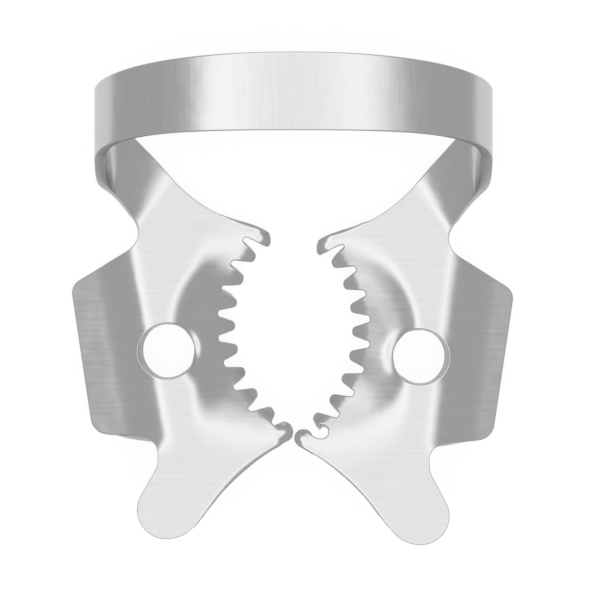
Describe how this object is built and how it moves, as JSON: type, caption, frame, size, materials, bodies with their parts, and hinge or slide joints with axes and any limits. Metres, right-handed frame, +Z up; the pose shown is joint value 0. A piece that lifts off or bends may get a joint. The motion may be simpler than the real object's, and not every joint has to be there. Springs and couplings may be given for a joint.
{
  "type": "rubber dam clamp",
  "caption": "Dental rubber dam clamp stamped from one strip of spring steel, with serrated jaws, forceps holes, bent wings, tabs and an arched bow.",
  "frame": {"origin": "middle of the bounding box's bottom, on the surface that the clamp rests on", "axes": "+Y from the tabs towards the bow, +Z up, X across the two jaws"},
  "size_m": [0.0288, 0.0332, 0.0096],
  "materials": {
    "satin_steel": "satin, with fine grinding lines"
  },
  "bodies": {
    "root": {"clamp": "satin_steel"}
  },
  "joints": []
}
